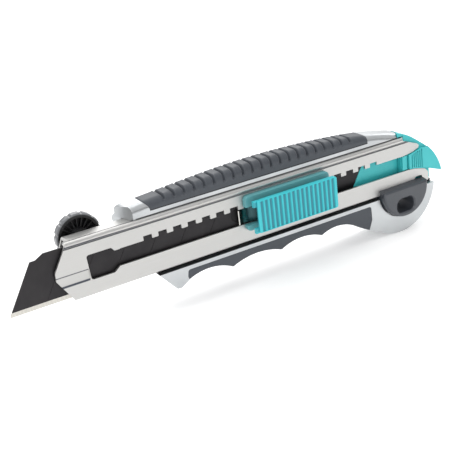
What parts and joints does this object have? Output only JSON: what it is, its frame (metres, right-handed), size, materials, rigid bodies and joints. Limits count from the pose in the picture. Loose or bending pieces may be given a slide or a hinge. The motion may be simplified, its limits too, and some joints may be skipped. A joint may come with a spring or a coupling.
{
  "type": "snap-off utility knife",
  "caption": "Snap-off utility knife: slanted blade in a slotted steel channel, cast handle with rubber grips, ribbed thumb slider, blade clamp wheel and a pull-out spare blade magazine.",
  "frame": {"origin": "centre of the footprint at the lowest point of the handle, with the knife upright on its cutting side", "axes": "+X from the blade tip to the end cap, +Z from the cutting edge to the spine, -Y out of the slider side"},
  "size_m": [0.179, 0.0182, 0.0453],
  "materials": {
    "brushed_sheet": "brushed",
    "cast_metal": "satin",
    "dark_rubber": "matte, fine grain",
    "teal_plastic": "satin moulded",
    "grey_plastic": "gloss moulded",
    "black_plastic": "moulded",
    "black_blade": "black oxide, bare ground edge",
    "spring_steel": "polished",
    "brass": "machined",
    "plated_steel": "zinc plated"
  },
  "bodies": {
    "handle": {"steel_channel": "brushed_sheet", "handle_casting": "cast_metal", "spine_grip": "dark_rubber", "finger_grip": "dark_rubber", "rear_eyelet": "grey_plastic", "channel_screws": "plated_steel", "clamp_bush": "plated_steel", "wheel_clip": "spring_steel"},
    "slider": {"blade": "black_blade", "blade_carrier": "spring_steel", "carrier_rivets": "plated_steel", "slider_base": "teal_plastic", "lock_spring": "spring_steel", "pad_spring": "spring_steel"},
    "thumb_pad": {"slider_pad": "teal_plastic", "lock_pawl": "spring_steel"},
    "thumb_wheel": {"clamp_wheel": "black_plastic", "wheel_insert": "brass"},
    "pressure_pin": {"clamp_pin": "plated_steel", "clamp_plate": "plated_steel"},
    "magazine": {"end_cap": "teal_plastic", "magazine_tray": "teal_plastic", "magazine_spring": "spring_steel", "spare_blades": "black_blade"}
  },
  "joints": [
    {"name": "blade_slide", "type": "slide", "parent": "handle", "child": "slider", "axis": [-1, 0, 0], "range_m": [-0.02246, 0.0337]},
    {"name": "pad_press", "type": "slide", "parent": "slider", "child": "thumb_pad", "axis": [0, 1, 0], "range_m": [0, 0.001], "stiffness_N_per_m": 1500, "springref_m": -0.0005},
    {"name": "wheel_turn", "type": "hinge", "parent": "handle", "child": "thumb_wheel", "pos_m": [-0.0596, 0.0075, 0.03485], "axis": [0, 1, 0], "range_deg": [-40, 400]},
    {"name": "pin_slide", "type": "slide", "parent": "handle", "child": "pressure_pin", "axis": [0, 1, 0], "range_m": [0, 0.0007]},
    {"name": "cap_pull", "type": "slide", "parent": "handle", "child": "magazine", "axis": [1, 0, 0], "range_m": [0, 0.06]}
  ],
  "couplings": [
    {"joint": "wheel_turn", "follows": "pin_slide", "rad_per_m": 8976}
  ]
}
